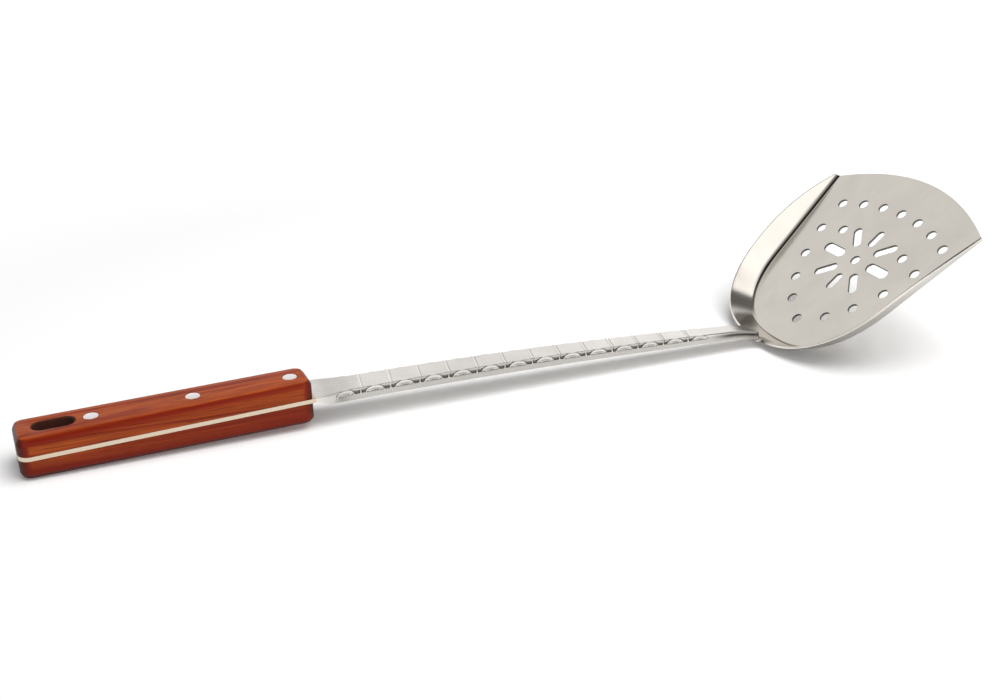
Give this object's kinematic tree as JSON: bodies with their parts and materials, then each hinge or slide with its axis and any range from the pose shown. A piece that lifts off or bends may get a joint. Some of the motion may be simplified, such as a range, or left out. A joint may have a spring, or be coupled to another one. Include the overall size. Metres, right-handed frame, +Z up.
{
  "type": "slotted wok turner",
  "caption": "Long shovel-shaped wok turner: perforated steel blade with a flared rim, stamped strip shank and riveted wooden handle.",
  "frame": {"origin": "on the resting plane, under the middle of the overall length and of the blade's width", "axes": "+X along the turner from the butt of the handle to the blade's front edge, +Y across it to the left, +Z up from the table it lies on"},
  "size_m": [0.4474, 0.118, 0.071],
  "materials": {
    "brushed_stainless": "satin sheet steel with a fine brushed grain, brighter along the rim",
    "stamped_stainless": "satin sheet steel, stamped, with polished high spots",
    "varnished_wood": "reddish brown hardwood under gloss varnish, grain along the handle",
    "rivet_metal": "polished, ground flush"
  },
  "bodies": {
    "root": {"blade": "brushed_stainless", "shank": "stamped_stainless", "upper_scale": "varnished_wood", "lower_scale": "varnished_wood", "rivet_cap_butt": "rivet_metal", "rivet_cap_middle": "rivet_metal", "rivet_cap_front": "rivet_metal", "rivet_body_butt": "rivet_metal", "rivet_body_middle": "rivet_metal", "rivet_body_front": "rivet_metal"}
  },
  "joints": []
}
